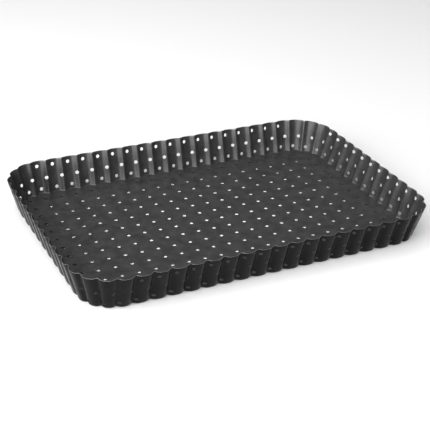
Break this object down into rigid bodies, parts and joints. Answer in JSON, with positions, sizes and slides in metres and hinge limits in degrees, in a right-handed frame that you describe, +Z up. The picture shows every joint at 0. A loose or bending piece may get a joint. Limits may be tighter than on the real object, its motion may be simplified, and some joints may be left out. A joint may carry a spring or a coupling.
{
  "type": "tart pan",
  "caption": "Rectangular fluted tart pan in perforated non-stick steel: a flared ring with an inward ledge and a loose base that lifts out.",
  "frame": {"origin": "middle of the pan's footprint, on the surface it stands on", "axes": "+Z up, +X along the long sides, +Y along the short sides"},
  "size_m": [0.3098, 0.2088, 0.029],
  "materials": {
    "ring_coating": "satin non-stick coating on pressed steel sheet",
    "base_coating": "satin non-stick coating with a fine grain on flat steel sheet"
  },
  "bodies": {
    "ring": {"fluted_ring": "ring_coating"},
    "base": {"loose_base": "base_coating"}
  },
  "joints": [
    {"name": "base_lift", "type": "slide", "parent": "ring", "child": "base", "axis": [0, 0, 1], "range_m": [0, 0.04]}
  ]
}
